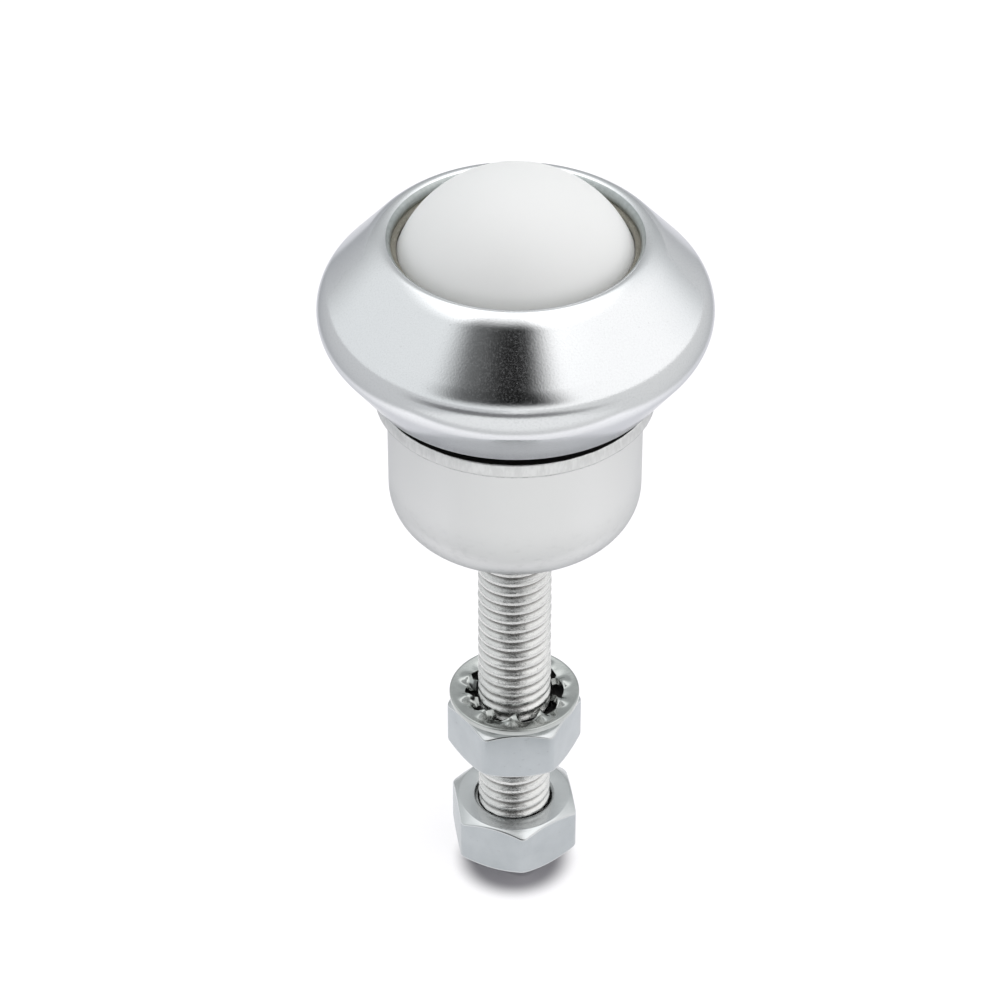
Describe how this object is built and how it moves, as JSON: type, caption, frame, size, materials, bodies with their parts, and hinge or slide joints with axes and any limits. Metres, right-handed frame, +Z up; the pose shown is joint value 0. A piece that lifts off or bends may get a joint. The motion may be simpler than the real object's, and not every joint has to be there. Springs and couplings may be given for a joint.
{
  "type": "ball transfer unit",
  "caption": "Stud-mounted ball transfer unit: a nylon load ball turns on a bed of small balls in a pressed double-cone cap on a drawn cup, with an M8 stud, toothed lock washer and hex nuts.",
  "frame": {"origin": "on the stud's axis, at the underside of the lower nut, where the unit stands", "axes": "+Z up along the stud's axis towards the load ball; one flat of the upper nut faces near -Y"},
  "size_m": [0.0398, 0.0398, 0.0856],
  "materials": {
    "nylon": "smooth white nylon, half matt",
    "zinc_cap": "bright zinc plate, satin",
    "felt": "pressed wool felt, olive brown",
    "pressed_steel": "plain pressed sheet",
    "hardened_steel": "hardened and oiled",
    "bearing_steel": "ground and polished",
    "zinc_cup": "zinc plate, whiter satin",
    "zinc_thread": "zinc-plated cut thread",
    "zinc_washer": "zinc plate, glossy",
    "zinc_nut": "bright zinc plate"
  },
  "bodies": {
    "housing": {"cap": "zinc_cap", "felt_wiper": "felt", "ball_retainer": "pressed_steel", "race_cup": "hardened_steel", "stud_cup": "zinc_cup", "stud": "zinc_thread"},
    "support_bed": {"bed_row_0": "bearing_steel", "bed_row_1": "bearing_steel", "bed_row_2": "bearing_steel", "bed_row_3": "bearing_steel", "bed_row_4": "bearing_steel", "bed_row_5": "bearing_steel", "bed_row_6": "bearing_steel", "bed_row_7": "bearing_steel", "bed_row_8": "bearing_steel", "bed_row_9": "bearing_steel"},
    "ball": {"load_ball": "nylon"},
    "washer": {"lock_washer": "zinc_washer"},
    "nut_above": {"upper_nut": "zinc_nut"},
    "nut_below": {"lower_nut": "zinc_nut"}
  },
  "joints": [
    {"name": "bed_turn", "type": "hinge", "parent": "housing", "child": "support_bed", "pos_m": [0, 0, 0.07288], "axis": [0, 0, 1], "continuous": true},
    {"name": "ball_roll", "type": "hinge", "parent": "support_bed", "child": "ball", "pos_m": [0, 0, 0.07288], "axis": [1, 0, 0], "continuous": true},
    {"name": "nut_travel", "type": "slide", "parent": "housing", "child": "washer", "axis": [0, 0, 1], "range_m": [-0.00375, 0.02312]},
    {"name": "upper_nut_turn", "type": "hinge", "parent": "washer", "child": "nut_above", "pos_m": [0, 0, 0.0137], "axis": [0, 0, 1], "range_deg": [-1080, 6660]},
    {"name": "lower_nut_travel", "type": "slide", "parent": "housing", "child": "nut_below", "axis": [0, 0, 1], "range_m": [0, 0.0037]}
  ],
  "couplings": [
    {"joint": "nut_travel", "follows": "upper_nut_turn", "m_per_rad": 0.00019894}
  ]
}
